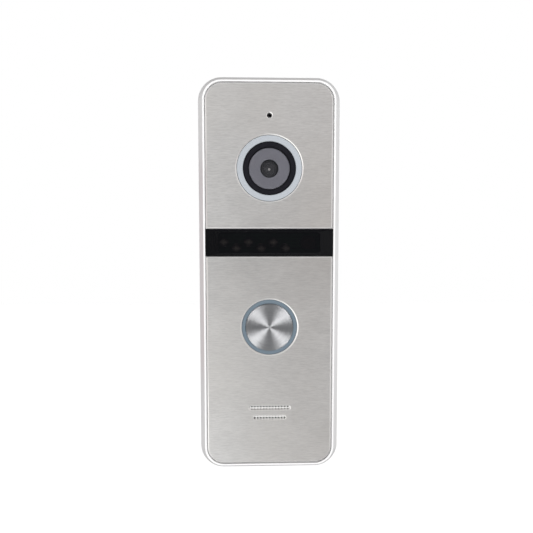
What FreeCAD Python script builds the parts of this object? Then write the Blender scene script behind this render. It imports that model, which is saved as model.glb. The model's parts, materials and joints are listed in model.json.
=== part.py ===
import FreeCAD, Part
import math
import os
import re
import Sketcher

# Outdoor call station of a video intercom, in millimetres.
#
# X runs to the right seen from the front, Z runs up, and the front faces -Y. The origin is the middle
# of the back face, where the bracket meets the wall. A distance from the wall, called a level below,
# is -Y: the wall is level 0 and the front rim is level body_depth.

DIMENSIONS = [
    ("body_width", 47.6, "housing, outside width"),
    ("body_height", 133.6, "housing, outside height"),
    ("body_depth", 24.0, "wall to the front rim"),
    ("body_corner", 8.0, "corner radius of the side walls"),
    ("body_back", 0.3, "level of the housing's rear edge"),
    ("shoulder_depth", 2.7, "how far the sloping shoulder falls back"),
    ("shoulder_width", 1.7, "how far the sloping shoulder steps in"),
    ("shoulder_round", 1.6, "rounding where shoulder meets side wall"),
    ("rim_round", 0.25, "rounding of the rim's outer edge"),
    ("opening_width", 43.1, "opening that holds the face plates"),
    ("opening_height", 129.1, "opening that holds the face plates"),
    ("opening_corner", 6.0, "corner radius of that opening"),
    ("deck_front", 23.1, "front level of the deck behind the plates"),
    ("deck_back", 20.5, "rear level of the deck"),
    ("root", 0.1, "how far bosses run into the deck"),
    ("cavity_half_width", 20.25, "inside of the side walls"),
    ("cavity_top", 63.25, "inside of the top wall"),
    ("cavity_bottom", -58.7, "top of the solid foot"),
    ("cavity_corner", 4.5, "corner radius inside"),
    ("ledge", 5.2, "level of the ledge that the seal sits on"),
    ("rebate_half_width", 21.55, "rebate for the rear cover"),
    ("rebate_top", 64.55, "rebate for the rear cover"),
    ("rebate_bottom", -60.0, "rebate for the rear cover"),
    ("rebate_corner", 3.5, "corner radius of the rebate"),
    ("play", 0.15, "gap between a loose part and its seat"),
    ("thread_play", 0.02, "radial gap of a screw in its pilot hole"),
    ("plate_front", 23.9, "front level of the face plates"),
    ("plate_back", 23.3, "rear level of the face plates"),
    ("plate_width", 42.5, "face plates"),
    ("plate_end", 64.27, "outer ends of the face plates"),
    ("plate_corner", 5.7, "outer corner radius of the face plates"),
    ("bevel_tilt", 30, "degrees that the bright bevels lean back from the face"),
    ("plate_bevel", 0.45, "width of the bevel round the face plates"),
    ("glue_lip", 0.15, "how far the adhesive stands out past the face plates' outer edge"),
    ("window_top", 16.32, "infrared window"),
    ("window_bottom", 7.15, "infrared window"),
    ("window_width", 42.9, "infrared window"),
    ("window_gap", 0.05, "window to face plate"),
    ("port_half_width", 17.6, "opening in the deck behind the window"),
    ("port_inset", 1.0, "window edge to that opening"),
    ("lens_z", 36.45, "height of the lens axis"),
    ("lens_hole", 11.0, "radius in the upper plate"),
    ("lens_bevel", 0.35, "width of that hole's bevel"),
    ("trim_outer", 10.85, "lens trim ring"),
    ("trim_inner", 8.87, "lens trim ring"),
    ("trim_front", 23.75, "lens trim ring"),
    ("trim_flange", 13.0, "its flange behind the deck"),
    ("trim_flange_back", 19.3, "its flange behind the deck"),
    ("seal_ring_outer", 8.77, "black ring round the lens window"),
    ("seal_ring_inner", 7.05, "black ring round the lens window"),
    ("seal_ring_front", 23.7, "black ring round the lens window"),
    ("lens_window_radius", 6.99, "glass in front of the lens"),
    ("lens_window_front", 23.5, "glass in front of the lens"),
    ("lens_window_back", 22.9, "glass in front of the lens"),
    ("lens_head", 6.85, "radius of the lens barrel's head"),
    ("lens_head_front", 22.8, "front face of the lens barrel"),
    ("lens_opening", 3.05, "radius of the opening in that face"),
    ("barrel_radius", 6.0, "threaded part of the lens barrel"),
    ("barrel_back", 11.0, "rear end of the lens barrel"),
    ("camera_board_half", 14.0, "half side of the camera board"),
    ("camera_board_back", 7.0, "camera board"),
    ("camera_board_front", 8.2, "camera board"),
    ("camera_screw_reach", 11.5, "camera board screws from the lens axis"),
    ("holder_ear_reach", 9.6, "lens holder screws from the lens axis"),
    ("mic_z", 53.75, "microphone"),
    ("mic_hole", 0.85, "microphone hole in the upper plate"),
    ("mic_bevel", 0.3, "width of that hole's bevel"),
    ("led_board_back", 15.4, "infrared board"),
    ("led_board_front", 16.4, "infrared board"),
    ("led_radius", 1.5, "infrared LED"),
    ("led_tip", 22.3, "front of the infrared LEDs"),
    ("led_first_x", -15.55, "first infrared LED"),
    ("led_pitch", 4.25, "spacing of the infrared LEDs"),
    ("led_upper_z", 11.9, "upper infrared LEDs"),
    ("led_lower_z", 9.75, "lower infrared LEDs"),
    ("button_z", -17.0, "height of the call button's axis"),
    ("button_hole", 9.47, "radius in the lower plate"),
    ("button_bevel", 0.42, "width of that hole's bevel"),
    ("cap_radius", 8.0, "button cap"),
    ("cap_front", 24.15, "button cap"),
    ("cap_back", 22.4, "button cap"),
    ("stem_radius", 3.0, "button stem"),
    ("stem_end", 14.25, "rear end of the button stem"),
    ("stem_bore", 3.05, "bore of the button guide"),
    ("ring_inner", 8.08, "light ring"),
    ("ring_outer", 9.4, "light ring"),
    ("ring_front", 23.65, "light ring"),
    ("ring_back", 13.2, "light ring"),
    ("ring_flange", 12.6, "light ring flange behind the deck"),
    ("ring_flange_back", 19.2, "light ring flange behind the deck"),
    ("ring_screw_reach", 11.0, "light ring screws from the button axis"),
    ("guide_outer", 8.05, "button guide"),
    ("guide_front", 21.0, "button guide"),
    ("guide_step", 17.4, "button guide"),
    ("guide_sleeve", 5.6, "button guide"),
    ("guide_back", 15.5, "button guide"),
    ("spring_seat", 18.6, "bottom of the guide's spring pocket"),
    ("spring_pocket", 5.1, "radius of the guide's spring pocket"),
    ("spring_radius", 4.1, "return spring, centre of its wire"),
    ("spring_wire", 0.25, "return spring, radius of its wire"),
    ("spring_turns", 3.5, "return spring"),
    ("board_back", 10.4, "main board"),
    ("board_front", 12.0, "main board"),
    ("board_half_width", 19.8, "main board"),
    ("board_top", 17.0, "main board"),
    ("board_bottom", -50.0, "main board"),
    ("board_screw_x", 16.5, "main board screws"),
    ("board_screw_top", 2.0, "main board screws"),
    ("board_screw_bottom", -45.0, "main board screws"),
    ("trimmer_x", 14.0, "volume trimmer"),
    ("trimmer_z", -16.0, "volume trimmer"),
    ("grille_z", -46.62, "speaker axis"),
    ("slot_top_z", -44.94, "upper speaker slot"),
    ("slot_top_length", 14.3, "upper speaker slot"),
    ("slot_bottom_z", -48.3, "lower speaker slot"),
    ("slot_bottom_length", 11.1, "lower speaker slot"),
    ("slot_height", 1.4, "both speaker slots"),
    ("slot_bevel", 0.2, "width of the bevel round the slots"),
    ("mesh_front", 23.25, "perforated sheet"),
    ("mesh_back", 22.95, "perforated sheet"),
    ("mesh_width", 20.4, "perforated sheet"),
    ("mesh_height", 9.4, "perforated sheet"),
    ("mesh_corner", 0.4, "perforated sheet"),
    ("mesh_hole", 0.31, "radius of its holes"),
    ("mesh_pitch_x", 1.03, "spacing of its holes"),
    ("mesh_pitch_z", 0.99, "spacing of its holes"),
    ("mesh_first_x", -8.12, "its first hole"),
    ("mesh_first_z", -49.62, "its first hole"),
    ("speaker_outer", 10.3, "speaker basket"),
    ("speaker_front", 19.9, "speaker basket"),
    ("magnet_radius", 6.0, "speaker magnet"),
    ("magnet_back", 13.6, "speaker magnet"),
    ("cover_back", 2.7, "rear cover"),
    ("cover_front", 4.3, "rear cover"),
    ("cover_counterbore", 0.8, "depth of the recess round each cover screw"),
    ("cover_screw_x", 17.9, "rear cover screws"),
    ("cover_screw_top", 58.0, "rear cover screws"),
    ("cover_screw_bottom", -54.5, "rear cover screws"),
    ("outlet_z", -22.0, "cable outlet"),
    ("outlet_radius", 3.5, "bore of the cable grommet"),
    ("outlet_flange", 3.5, "width of the grommet's flange"),
    ("outlet_recess", 0.6, "depth of the recess for that flange"),
    ("bracket_gauge", 1.2, "thickness of the wall bracket's steel"),
    ("bracket_half_width", 19.0, "wall bracket"),
    ("bracket_top", 62.5, "wall bracket"),
    ("bracket_bottom", -56.0, "wall bracket"),
    ("bracket_window_half", 10.0, "cable window in the bracket"),
    ("bracket_window_reach", 16.0, "cable window, half its height"),
    ("wall_screw_reach", 42.0, "wall screw holes from the origin"),
    ("wall_screw_hole", 2.1, "radius of the wall screw holes"),
    ("hook_x", 8.0, "bracket hooks"),
    ("hook_z", 56.0, "underside of the bracket hooks"),
    ("hook_half_width", 3.0, "bracket hooks"),
    ("hook_reach", 5.8, "front level of the bracket hooks"),
    ("hook_rise", 4.0, "height of the bracket hooks"),
    ("foot_half_width", 7.0, "bracket foot"),
    ("foot_bottom", -63.4, "bracket foot"),
    ("foot_front", 6.8, "bracket foot"),
    ("foot_space", 1.5, "room beside the foot"),
    ("lock_level", 3.8, "level of the lock screw's axis"),
    ("lock_radius", 1.5, "lock screw"),
    ("wire_radius", 0.4, "leads"),
    ("wire_bend", 0.7, "bend radius of the leads"),
]

DOC = FreeCAD.newDocument("call_station")
SHEET = DOC.addObject("Spreadsheet::Sheet", "dims")
for row, (alias, number, meaning) in enumerate(DIMENSIONS, start=1):
    SHEET.set("A%d" % row, alias)
    SHEET.set("B%d" % row, str(number))
    SHEET.set("C%d" % row, meaning)
    SHEET.setAlias("B%d" % row, alias)
DOC.recompute()

ALIASES = {alias for alias, number, meaning in DIMENSIONS}
NODES = []
FORWARD = FreeCAD.Vector(0, -1, 0)
TO_FRONT = FreeCAD.Rotation(FreeCAD.Vector(1, 0, 0), 90)


# ---------------------------------------------------------------- expressions and sketches


def full(expression):
    """The same expression with each sheet alias written the way a bound property needs it."""

    def prefixed(match):
        word = match.group()
        return "dims." + word if word in ALIASES else word

    return re.sub(r"[a-z_]+", prefixed, expression)


def value(expression):
    """The number that an expression comes to."""
    return float(SHEET.evalExpression(full(expression)))


def bind(item, path, expression):
    item.setExpression(path, full(expression))


def sketch_on(body, role, name, offset="0"):
    """New sketch on one of the body's own origin planes, moved along that plane's normal."""
    sketch = body.newObject("Sketcher::SketchObject", name)
    plane = [feature for feature in body.Origin.OriginFeatures if feature.Role == role][0]
    sketch.AttachmentSupport = [(plane, "")]
    sketch.MapMode = "FlatFace"
    bind(sketch, "AttachmentOffset.Base.z", offset)
    return sketch


def constrain(sketch, expression, kind, *where):
    """Dimensional constraint whose number stays bound to the sheet."""
    index = sketch.addConstraint(Sketcher.Constraint(kind, *where, value(expression)))
    bind(sketch, "Constraints[%d]" % index, expression)


def pin(sketch, geometry, point, x, z):
    """Tie a point of the sketch to its place, measured from the sketch's origin."""
    constrain(sketch, x, "DistanceX", -1, 1, geometry, point)
    constrain(sketch, z, "DistanceY", -1, 1, geometry, point)


def join(sketch, kind, first, first_point, second, second_point):
    sketch.addConstraint(Sketcher.Constraint(kind, first, first_point, second, second_point))


def circle(x, z, radius):
    def draw(sketch):
        centre = FreeCAD.Vector(value(x), value(z), 0)
        index = sketch.addGeometry(Part.Circle(centre, FreeCAD.Vector(0, 0, 1), value(radius)))
        pin(sketch, index, 3, x, z)
        constrain(sketch, radius, "Radius", index)

    return draw


def polygon(*points):
    def draw(sketch):
        corners = [FreeCAD.Vector(value(x), value(z), 0) for x, z in points]
        after = corners[1:] + corners[:1]
        lines = [sketch.addGeometry(Part.LineSegment(a, b)) for a, b in zip(corners, after)]
        for line, following, point in zip(lines, lines[1:] + lines[:1], points):
            join(sketch, "Coincident", line, 2, following, 1)
            pin(sketch, line, 1, *point)

    return draw


def frame(left, right, bottom, top, radii):
    """Upright rectangle; radii go counter-clockwise from the bottom left corner, "" for a sharp one."""

    def draw(sketch):
        sides = [
            (left, "+", bottom, "+"), (right, "-", bottom, "+"),
            (right, "-", top, "-"), (left, "+", top, "-"),
        ]
        ends = []
        for quarter, ((x, x_sign, z, z_sign), radius) in enumerate(zip(sides, radii)):
            if not radius:
                corner = FreeCAD.Vector(value(x), value(z), 0)
                ends.append((None, corner, corner))
                continue
            centre_x = "(%s) %s (%s)" % (x, x_sign, radius)
            centre_z = "(%s) %s (%s)" % (z, z_sign, radius)
            centre = FreeCAD.Vector(value(centre_x), value(centre_z), 0)
            whole = Part.Circle(centre, FreeCAD.Vector(0, 0, 1), value(radius))
            start = math.pi + quarter * math.pi / 2
            arc = Part.ArcOfCircle(whole, start, start + math.pi / 2)
            index = sketch.addGeometry(arc)
            pin(sketch, index, 3, centre_x, centre_z)
            constrain(sketch, radius, "Radius", index)
            ends.append((index, arc.StartPoint, arc.EndPoint))
        following = ends[1:] + ends[:1]
        lines = [
            sketch.addGeometry(Part.LineSegment(end[2], start[1])) for end, start in zip(ends, following)
        ]
        for k, (x, x_sign, z, z_sign) in enumerate(sides):
            if ends[k][0] is None:
                join(sketch, "Coincident", lines[k - 1], 2, lines[k], 1)
                pin(sketch, lines[k], 1, x, z)
            else:
                join(sketch, "Tangent", lines[k - 1], 2, ends[k][0], 1)
                join(sketch, "Tangent", ends[k][0], 2, lines[k], 1)

    return draw


def box(x, z, width, height, corner=""):
    """Rectangle about a centre, with four equal corners."""
    spans = (x, width), (z, height)
    spread = ["(%s) %s (%s) / 2" % (middle, sign, size) for middle, size in spans for sign in "-+"]
    return frame(*spread, radii=[corner] * 4)


def stadium(x, z, length, height):
    """Slot with round ends, lying along X."""

    def draw(sketch):
        radius = "(%s) / 2" % height
        reach = "((%s) - (%s)) / 2" % (length, height)
        arcs = []
        for sign, start in (("-", math.pi / 2), ("+", -math.pi / 2)):
            end_x = "(%s) %s %s" % (x, sign, reach)
            centre = FreeCAD.Vector(value(end_x), value(z), 0)
            whole = Part.Circle(centre, FreeCAD.Vector(0, 0, 1), value(radius))
            arcs.append(Part.ArcOfCircle(whole, start, start + math.pi))
            pin(sketch, sketch.addGeometry(arcs[-1]), 3, end_x, z)
        first = sketch.GeometryCount - 2
        lines = [
            sketch.addGeometry(Part.LineSegment(arcs[0].EndPoint, arcs[1].StartPoint)),
            sketch.addGeometry(Part.LineSegment(arcs[1].EndPoint, arcs[0].StartPoint)),
        ]
        constrain(sketch, radius, "Radius", first)
        join(sketch, "Tangent", first, 2, lines[0], 1)
        join(sketch, "Tangent", lines[0], 2, first + 1, 1)
        join(sketch, "Tangent", first + 1, 2, lines[1], 1)
        join(sketch, "Tangent", lines[1], 2, first, 1)

    return draw


# ---------------------------------------------------------------- features


def node(item, label):
    """Keep an object as one piece of the product, in a file of its own."""
    item.Label = label
    NODES.append(item)
    return item


def new_body(label, keep=True):
    body = DOC.addObject("PartDesign::Body", label)
    return node(body, label) if keep else body


def slab(body, name, back, front, *shapes):
    """Add material between two levels."""
    sketch = sketch_on(body, "XZ_Plane", name + "_sketch", back)
    for draw in shapes:
        draw(sketch)
    pad = body.newObject("PartDesign::Pad", name)
    pad.Profile = sketch
    bind(pad, "Length", "(%s) - (%s)" % (front, back))
    return pad


def hollow(body, name, back, front, *shapes):
    """Take material away between two levels."""
    DOC.recompute()
    before = body.Shape.Volume
    sketch = sketch_on(body, "XZ_Plane", name + "_sketch", front)
    for draw in shapes:
        draw(sketch)
    pocket = body.newObject("PartDesign::Pocket", name)
    pocket.Profile = sketch
    bind(pocket, "Length", "(%s) - (%s)" % (front, back))
    DOC.recompute()
    if body.Shape.Volume >= before:
        raise RuntimeError("%s cuts nothing" % name)
    return pocket


def dress(body, kind, name, choose):
    """Fillet or Chamfer on the edges of the body so far that choose accepts."""
    DOC.recompute()
    base = body.Tip
    chosen = ["Edge%d" % number for number, edge in enumerate(base.Shape.Edges, start=1) if choose(edge)]
    feature = body.newObject("PartDesign::" + kind, name)
    feature.Base = (base, chosen)
    return feature


def soften(body, name, radius, choose):
    bind(dress(body, "Fillet", name, choose), "Radius", radius)


def bevel(body, name, width, choose):
    """Shallow bevel: width across the front face, leaning back by the bevel tilt."""
    feature = dress(body, "Chamfer", name, choose)
    feature.ChamferType = "Two distances"
    bind(feature, "Size", "(%s) * tan(bevel_tilt * 1 deg)" % width)
    bind(feature, "Size2", width)
    if not leans_back(feature):
        feature.FlipDirection = True
        if not leans_back(feature):
            raise RuntimeError("%s leans back by the wrong angle" % name)


def leans_back(feature):
    """Whether each sloping face leans back by the bevel tilt, not by what is left of a right angle."""
    DOC.recompute()
    if not feature.isValid():
        return False
    wanted = math.cos(math.radians(value("bevel_tilt")))
    for face in feature.Shape.Faces:
        low, high, near, far = face.ParameterRange
        steepness = abs(face.normalAt((low + high) / 2, (near + far) / 2).y)
        if 0.05 < steepness < 0.995 and abs(steepness - wanted) > 0.01:
            return False
    return True


def level_edge(edge, level):
    """Whether an edge lies flat at a level."""
    bounds = edge.BoundBox
    wanted = -value(level)
    return abs(bounds.YMin - wanted) < 1e-4 and abs(bounds.YMax - wanted) < 1e-4


def edges_round(level, x, z, reach_x, reach_z):
    """Chooser for edges at a level that lie within a box about (x, z)."""

    def choose(edge):
        bounds = edge.BoundBox
        across = max(value(x) - bounds.XMin, bounds.XMax - value(x))
        up = max(value(z) - bounds.ZMin, bounds.ZMax - value(z))
        return across <= value(reach_x) and up <= value(reach_z) and level_edge(edge, level)

    return choose


def edges_outside(level, left, right, bottom, top, margin):
    """Chooser for edges at a level along the border of a rectangle."""

    def choose(edge):
        middle = edge.CenterOfMass
        near_x = middle.x < value(left) + margin or middle.x > value(right) - margin
        near_z = middle.z < value(bottom) + margin or middle.z > value(top) - margin
        return (near_x or near_z) and level_edge(edge, level)

    return choose


def turned(label, profile, x="0", z="0", keep=True):
    """Body of revolution about an axis along Y through (x, z); profile holds (radius, level) pairs."""
    body = new_body(label, keep)
    sketch = sketch_on(body, "XY_Plane", label + "_profile")
    polygon(*[(radius, "-(%s)" % level) for radius, level in profile])(sketch)
    feature = body.newObject("PartDesign::Revolution", label + "_turned")
    feature.Profile = sketch
    feature.ReferenceAxis = (sketch, ["V_Axis"])
    feature.Angle = 360
    bind(body, "Placement.Base.x", x)
    bind(body, "Placement.Base.z", z)
    return body


def tube(inner, outer, back, front):
    """Profile of a plain ring or, with no inner radius, of a disc."""
    return [(inner, back), (outer, back), (outer, front), (inner, front)]


def block(label, x, z, width, height, back, front):
    """Plain box about (x, z), between two levels."""
    item = DOC.addObject("Part::Box", label)
    bind(item, "Length", width)
    bind(item, "Width", "(%s) - (%s)" % (front, back))
    bind(item, "Height", height)
    bind(item, "Placement.Base.x", "(%s) - (%s) / 2" % (x, width))
    bind(item, "Placement.Base.y", "-(%s)" % front)
    bind(item, "Placement.Base.z", "(%s) - (%s) / 2" % (z, height))
    return item


def post(label, x, z, radius, back, front):
    """Plain cylinder along Y, between two levels."""
    item = DOC.addObject("Part::Cylinder", label)
    item.Placement.Rotation = TO_FRONT
    bind(item, "Radius", radius)
    bind(item, "Height", "(%s) - (%s)" % (front, back))
    bind(item, "Placement.Base.x", x)
    bind(item, "Placement.Base.y", "-(%s)" % back)
    bind(item, "Placement.Base.z", z)
    return item


def cut(label, base, *tools):
    """Base with the tools taken away."""
    for number, tool in enumerate(tools, start=1):
        name = label if number == len(tools) else "%s_cut_%d" % (label, number)
        result = DOC.addObject("Part::Cut", name)
        result.Base = base
        result.Tool = tool
        base = result
    return base


def fused(label, *pieces):
    result = DOC.addObject("Part::MultiFuse", label)
    result.Shapes = list(pieces)
    return result


def group(label, pieces):
    """Separate solids that share one node."""
    result = DOC.addObject("Part::Compound", label)
    result.Links = list(pieces)
    return node(result, label)


def copies(label, master, places):
    """One node that holds a copy of the master at each (x, z)."""
    links = []
    for number, (x, z) in enumerate(places, start=1):
        link = DOC.addObject("App::Link", "%s_%d" % (label, number))
        link.LinkedObject = master
        bind(link, "Placement.Base.x", x)
        bind(link, "Placement.Base.z", z)
        links.append(link)
    return group(label, links)


def screw(label, head_radius, head_back, seat, shank_radius, tip):
    """Round-headed screw driven forwards from behind, with a cross-shaped drive."""
    body = turned(
        label, [("0", head_back), (head_radius, head_back), (head_radius, seat), (shank_radius, seat),
                (shank_radius, tip), ("0", tip)], keep=False,
    )
    drive_floor = "(%s) + 0.6 * ((%s) - (%s))" % (head_back, seat, head_back)
    arm_width = "0.3 * (%s)" % head_radius
    arm_length = "1.2 * (%s)" % head_radius
    hollow(body, label + "_slot_x", head_back, drive_floor, box("0", "0", arm_length, arm_width))
    hollow(body, label + "_slot_z", head_back, drive_floor, box("0", "0", arm_width, arm_length))
    return body


def square(half_x, top, bottom):
    """The four (x, z) places of a mirrored rectangle."""
    return [(x, z) for x in ("-(%s)" % half_x, half_x) for z in (top, bottom)]


PORT = ["-port_half_width", "port_half_width", "window_bottom + port_inset", "window_top - port_inset"]
CAMERA_SCREWS = square("camera_screw_reach", "lens_z + camera_screw_reach", "lens_z - camera_screw_reach")
BOARD_SCREWS = square("board_screw_x", "board_screw_top", "board_screw_bottom")
COVER_SCREWS = square("cover_screw_x", "cover_screw_top", "cover_screw_bottom")
HOOKS = ["-hook_x", "hook_x"]
HOLDER_SCREWS = [(x, "lens_z") for x in ("-holder_ear_reach", "holder_ear_reach")]
RING_SCREWS = [
    ("ring_screw_reach * cos(%d deg)" % angle, "button_z + ring_screw_reach * sin(%d deg)" % angle)
    for angle in (90, 210, 330)
]


# ---------------------------------------------------------------- housing and face


def make_housing():
    """Cast front frame: sloping shoulder, deck behind the plates, bosses, and a solid foot."""
    body = new_body("front_housing")
    slab(body, "walls", "body_back", "body_depth - shoulder_depth",
         box("0", "0", "body_width", "body_height", "body_corner"))
    lower = sketch_on(body, "XZ_Plane", "shoulder_base", "body_depth - shoulder_depth")
    box("0", "0", "body_width", "body_height", "body_corner")(lower)
    upper = sketch_on(body, "XZ_Plane", "shoulder_rim", "body_depth")
    rim = ["%s - 2 * shoulder_width" % size for size in ("body_width", "body_height")]
    box("0", "0", *rim, "body_corner - shoulder_width")(upper)
    loft = body.newObject("PartDesign::AdditiveLoft", "shoulder")
    loft.Profile = lower
    loft.Sections = [upper]
    loft.Ruled = True
    border = ["-body_width / 2", "body_width / 2", "-body_height / 2", "body_height / 2"]
    margin = value("body_corner") / 2
    soften(body, "shoulder_softened", "shoulder_round",
           edges_outside("body_depth - shoulder_depth", *border, margin))
    soften(body, "rim_softened", "rim_round", edges_outside("body_depth", *border, margin))
    hollow(body, "plate_recess", "deck_front", "body_depth + 1",
           box("0", "0", "opening_width", "opening_height", "opening_corner"))
    cavity = ["-cavity_half_width", "cavity_half_width", "cavity_bottom", "cavity_top"]
    hollow(body, "cavity", "body_back - 1", "deck_back", frame(*cavity, ["cavity_corner"] * 4))
    rebate = ["-rebate_half_width", "rebate_half_width", "rebate_bottom", "rebate_top"]
    hollow(body, "cover_rebate", "body_back - 1", "ledge", frame(*rebate, ["rebate_corner"] * 4))
    hollow(body, "deck_openings", "deck_back - 0.1", "deck_front + 0.1",
           circle("0", "lens_z", "trim_outer + 0.1"), circle("0", "mic_z", "1.2"),
           circle("0", "button_z", "button_hole"),
           frame(*PORT, ["port_inset"] * 4),
           box("0", "grille_z", "mesh_width - 2.8", "mesh_height - 1.4", "1"))
    hollow(body, "mesh_recess", "mesh_back", "deck_front + 0.1",
           box("0", "grille_z", "mesh_width + 0.4", "mesh_height + 0.4", "mesh_corner + 0.1"))
    for name, places, radius, pilot, level, depth in (
        ("camera", CAMERA_SCREWS, "2", "1", "camera_board_front", "4.5"),
        ("board", BOARD_SCREWS, "2.3", "1.25", "board_front", "5"),
        ("cover", COVER_SCREWS, "2.5", "1.25", "cover_front", "8"),
    ):
        slab(body, name + "_bosses", level, "deck_back + root", *[circle(x, z, radius) for x, z in places])
        hollow(body, name + "_pilots", level, "%s + %s" % (level, depth),
               *[circle(x, z, pilot + " + thread_play") for x, z in places])
    hollow(body, "ring_pilots", "deck_back", "deck_back + 1.5",
           *[circle(x, z, "1 + thread_play") for x, z in RING_SCREWS])
    sides = ["-foot_half_width - foot_space", "foot_half_width + foot_space"]
    hollow(body, "foot_pocket", "body_back - 1", "foot_front + 0.7",
           frame(*sides, "foot_bottom - 0.9", "foot_bottom + 2.6", ["0.5"] * 4))
    hollow(body, "foot_passage", "body_back - 1", "bracket_gauge + 0.4",
           frame(*sides, "foot_bottom", "rebate_bottom + 1", [""] * 4))
    make_lock_hole(body)


def make_lock_hole(body):
    """Countersunk hole up through the foot of the housing, for the lock screw."""
    sketch = sketch_on(body, "YZ_Plane", "lock_hole_profile")
    skin = "body_height / 2"
    head = "lock_radius + 1.45"
    clear = "lock_radius + 0.1"
    polygon(
        ("-lock_level", "-%s - 1" % skin), ("-lock_level - (%s) - 0.1" % head, "-%s - 1" % skin),
        ("-lock_level - (%s) - 0.1" % head, "-%s + 0.2" % skin),
        ("-lock_level - (%s)" % clear, "-%s + 1.7" % skin),
        ("-lock_level - (%s)" % clear, "foot_bottom - 0.5"), ("-lock_level", "foot_bottom - 0.5"),
    )(sketch)
    DOC.recompute()
    before = body.Shape.Volume
    groove = body.newObject("PartDesign::Groove", "lock_hole")
    groove.Profile = sketch
    groove.ReferenceAxis = (sketch, ["Edge6"])
    groove.Angle = 360
    DOC.recompute()
    if body.Shape.Volume >= before:
        raise RuntimeError("lock hole cuts nothing")


def face_border(bottom, top, lip="0"):
    return ["-plate_width / 2 - %s" % lip, "plate_width / 2 + %s" % lip, bottom, top]


def make_upper_plate():
    """Brushed plate round the lens and the microphone, on its adhesive sheet."""
    ends = "window_top + window_gap", "plate_end"
    border = face_border(*ends)
    body = new_body("upper_face_plate")
    slab(body, "upper_sheet", "plate_back", "plate_front",
         frame(*border, ["", "", "plate_corner", "plate_corner"]),
         circle("0", "lens_z", "lens_hole"), circle("0", "mic_z", "mic_hole"))
    bevel(body, "upper_bevel", "plate_bevel", edges_outside("plate_front", *border, 3))
    bevel(body, "lens_hole_bevel", "lens_bevel",
          edges_round("plate_front", "0", "lens_z", "lens_hole + 0.1", "lens_hole + 0.1"))
    bevel(body, "mic_hole_bevel", "mic_bevel", edges_round("plate_front", "0", "mic_z", "1", "1"))
    glue = new_body("upper_plate_adhesive")
    corner = "plate_corner + glue_lip"
    slab(glue, "upper_glue", "deck_front", "plate_back",
         frame(*face_border(ends[0], "plate_end + glue_lip", "glue_lip"), ["", "", corner, corner]),
         circle("0", "lens_z", "lens_hole + 0.6"), circle("0", "mic_z", "1.6"))


def make_lower_plate():
    """Brushed plate round the call button, with two speaker slots, on its adhesive sheet."""
    ends = "-plate_end", "window_bottom - window_gap"
    border = face_border(*ends)
    body = new_body("lower_face_plate")
    slab(body, "lower_sheet", "plate_back", "plate_front",
         frame(*border, ["plate_corner", "plate_corner", "", ""]), circle("0", "button_z", "button_hole"),
         stadium("0", "slot_top_z", "slot_top_length", "slot_height"),
         stadium("0", "slot_bottom_z", "slot_bottom_length", "slot_height"))
    bevel(body, "lower_bevel", "plate_bevel", edges_outside("plate_front", *border, 3))
    bevel(body, "button_hole_bevel", "button_bevel",
          edges_round("plate_front", "0", "button_z", "button_hole + 0.1", "button_hole + 0.1"))
    bevel(body, "slot_bevels", "slot_bevel", edges_round("plate_front", "0", "grille_z", "10", "4"))
    glue = new_body("lower_plate_adhesive")
    corner = "plate_corner + glue_lip"
    slab(glue, "lower_glue", "deck_front", "plate_back",
         frame(*face_border("-plate_end - glue_lip", ends[1], "glue_lip"), [corner, corner, "", ""]),
         circle("0", "button_z", "button_hole + 0.6"),
         box("0", "grille_z", "mesh_width + 1", "mesh_height + 1", "mesh_corner + 0.1"))


def make_infrared_window():
    """Black strip that only infrared passes, with its adhesive frame."""
    sides = ["-window_width / 2", "window_width / 2", "window_bottom", "window_top"]
    body = new_body("infrared_window")
    slab(body, "strip", "plate_back", "plate_front - 0.05", frame(*sides, [""] * 4))
    body = new_body("window_adhesive")
    slab(body, "window_glue", "deck_front", "plate_back", frame(*sides, [""] * 4),
         frame("-port_half_width + 0.4", "port_half_width - 0.4", "window_bottom + port_inset + 0.1",
               "window_top - port_inset - 0.1", ["port_inset"] * 4))


# ---------------------------------------------------------------- camera


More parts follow.
